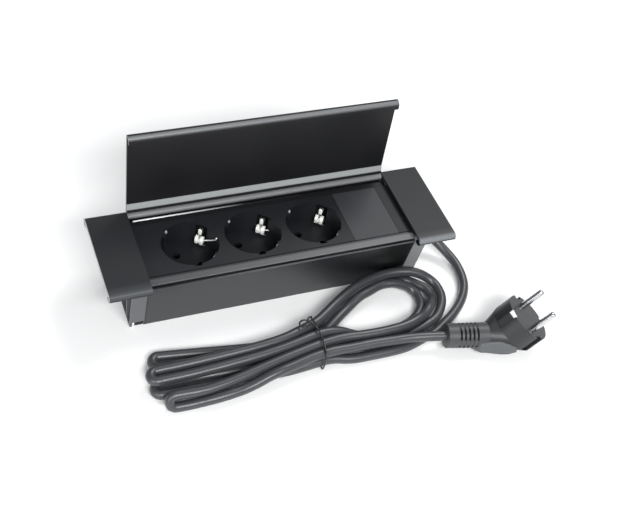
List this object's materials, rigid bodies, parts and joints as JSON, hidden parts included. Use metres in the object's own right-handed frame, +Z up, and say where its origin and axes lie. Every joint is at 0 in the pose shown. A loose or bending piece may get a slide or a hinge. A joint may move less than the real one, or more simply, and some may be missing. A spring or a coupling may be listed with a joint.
{
  "type": "in-desk power strip",
  "caption": "Desk-recessed mains socket strip with a folding lid, flush cover plates, a tied cord and an angled plug.",
  "frame": {"origin": "on the supporting surface, under the middle of the strip with its lid open", "axes": "+X along the strip towards the end that the cord leaves from, -Y towards the user, +Z up"},
  "size_m": [0.2984, 0.1559, 0.1212],
  "materials": {
    "channel_coat": "satin charcoal powder coat",
    "cap_plastic": "fine-grained dark grey moulding",
    "cover_coat": "satin charcoal powder coat",
    "lid_coat": "satin near-black powder coat",
    "pin_steel": "turned steel",
    "rail_coat": "satin charcoal powder coat",
    "module_plastic": "fine-grained black moulding",
    "blank_plastic": "fine-grained charcoal moulding",
    "clip_metal": "bright nickel",
    "inner_plastic": "natural moulding",
    "bus_brass": "stamped brass",
    "screw_steel": "zinc-plated steel",
    "cord_jacket": "smooth charcoal jacket",
    "wire_jacket": "conductor insulation",
    "relief_rubber": "satin charcoal rubber",
    "tie_jacket": "thin black wire tie",
    "plug_plastic": "satin charcoal moulding",
    "pin_nickel": "bright nickel"
  },
  "bodies": {
    "housing": {"housing_profile": "channel_coat", "right_end_cap": "cap_plastic", "left_end_cap": "cap_plastic", "right_cover_plate": "cover_coat", "left_cover_plate": "cover_coat", "front_rail": "rail_coat", "rear_rail": "rail_coat", "socket_module_1": "module_plastic", "socket_module_2": "module_plastic", "socket_module_3": "module_plastic", "blank_module": "blank_plastic", "left_deck_filler": "module_plastic", "right_deck_filler": "module_plastic", "earth_clip_1": "clip_metal", "earth_clip_2": "clip_metal", "earth_clip_3": "clip_metal", "contact_tray": "inner_plastic", "line_bus": "bus_brass", "neutral_bus": "bus_brass", "earth_bus": "bus_brass", "terminal_block": "inner_plastic", "terminal_screws": "screw_steel", "cord_inner_end": "cord_jacket", "cord_clamp": "inner_plastic", "clamp_screws": "screw_steel", "cord_gland": "relief_rubber", "supply_wires": "wire_jacket", "link_wires": "wire_jacket", "end_cap_screws": "screw_steel", "cover_screws": "screw_steel", "cord_lead": "cord_jacket", "cord_hank": "cord_jacket", "twist_tie": "tie_jacket", "plug_body": "plug_plastic", "plug_pins": "pin_nickel", "plug_earth_contacts": "pin_nickel", "plug_strain_relief": "relief_rubber"},
    "lid": {"lid_panel": "lid_coat", "hinge_pins": "pin_steel"}
  },
  "joints": [
    {"name": "lid_hinge", "type": "hinge", "parent": "housing", "child": "lid", "pos_m": [0, 0.03435, 0.049], "axis": [1, 0, 0], "range_deg": [0, 90]}
  ]
}
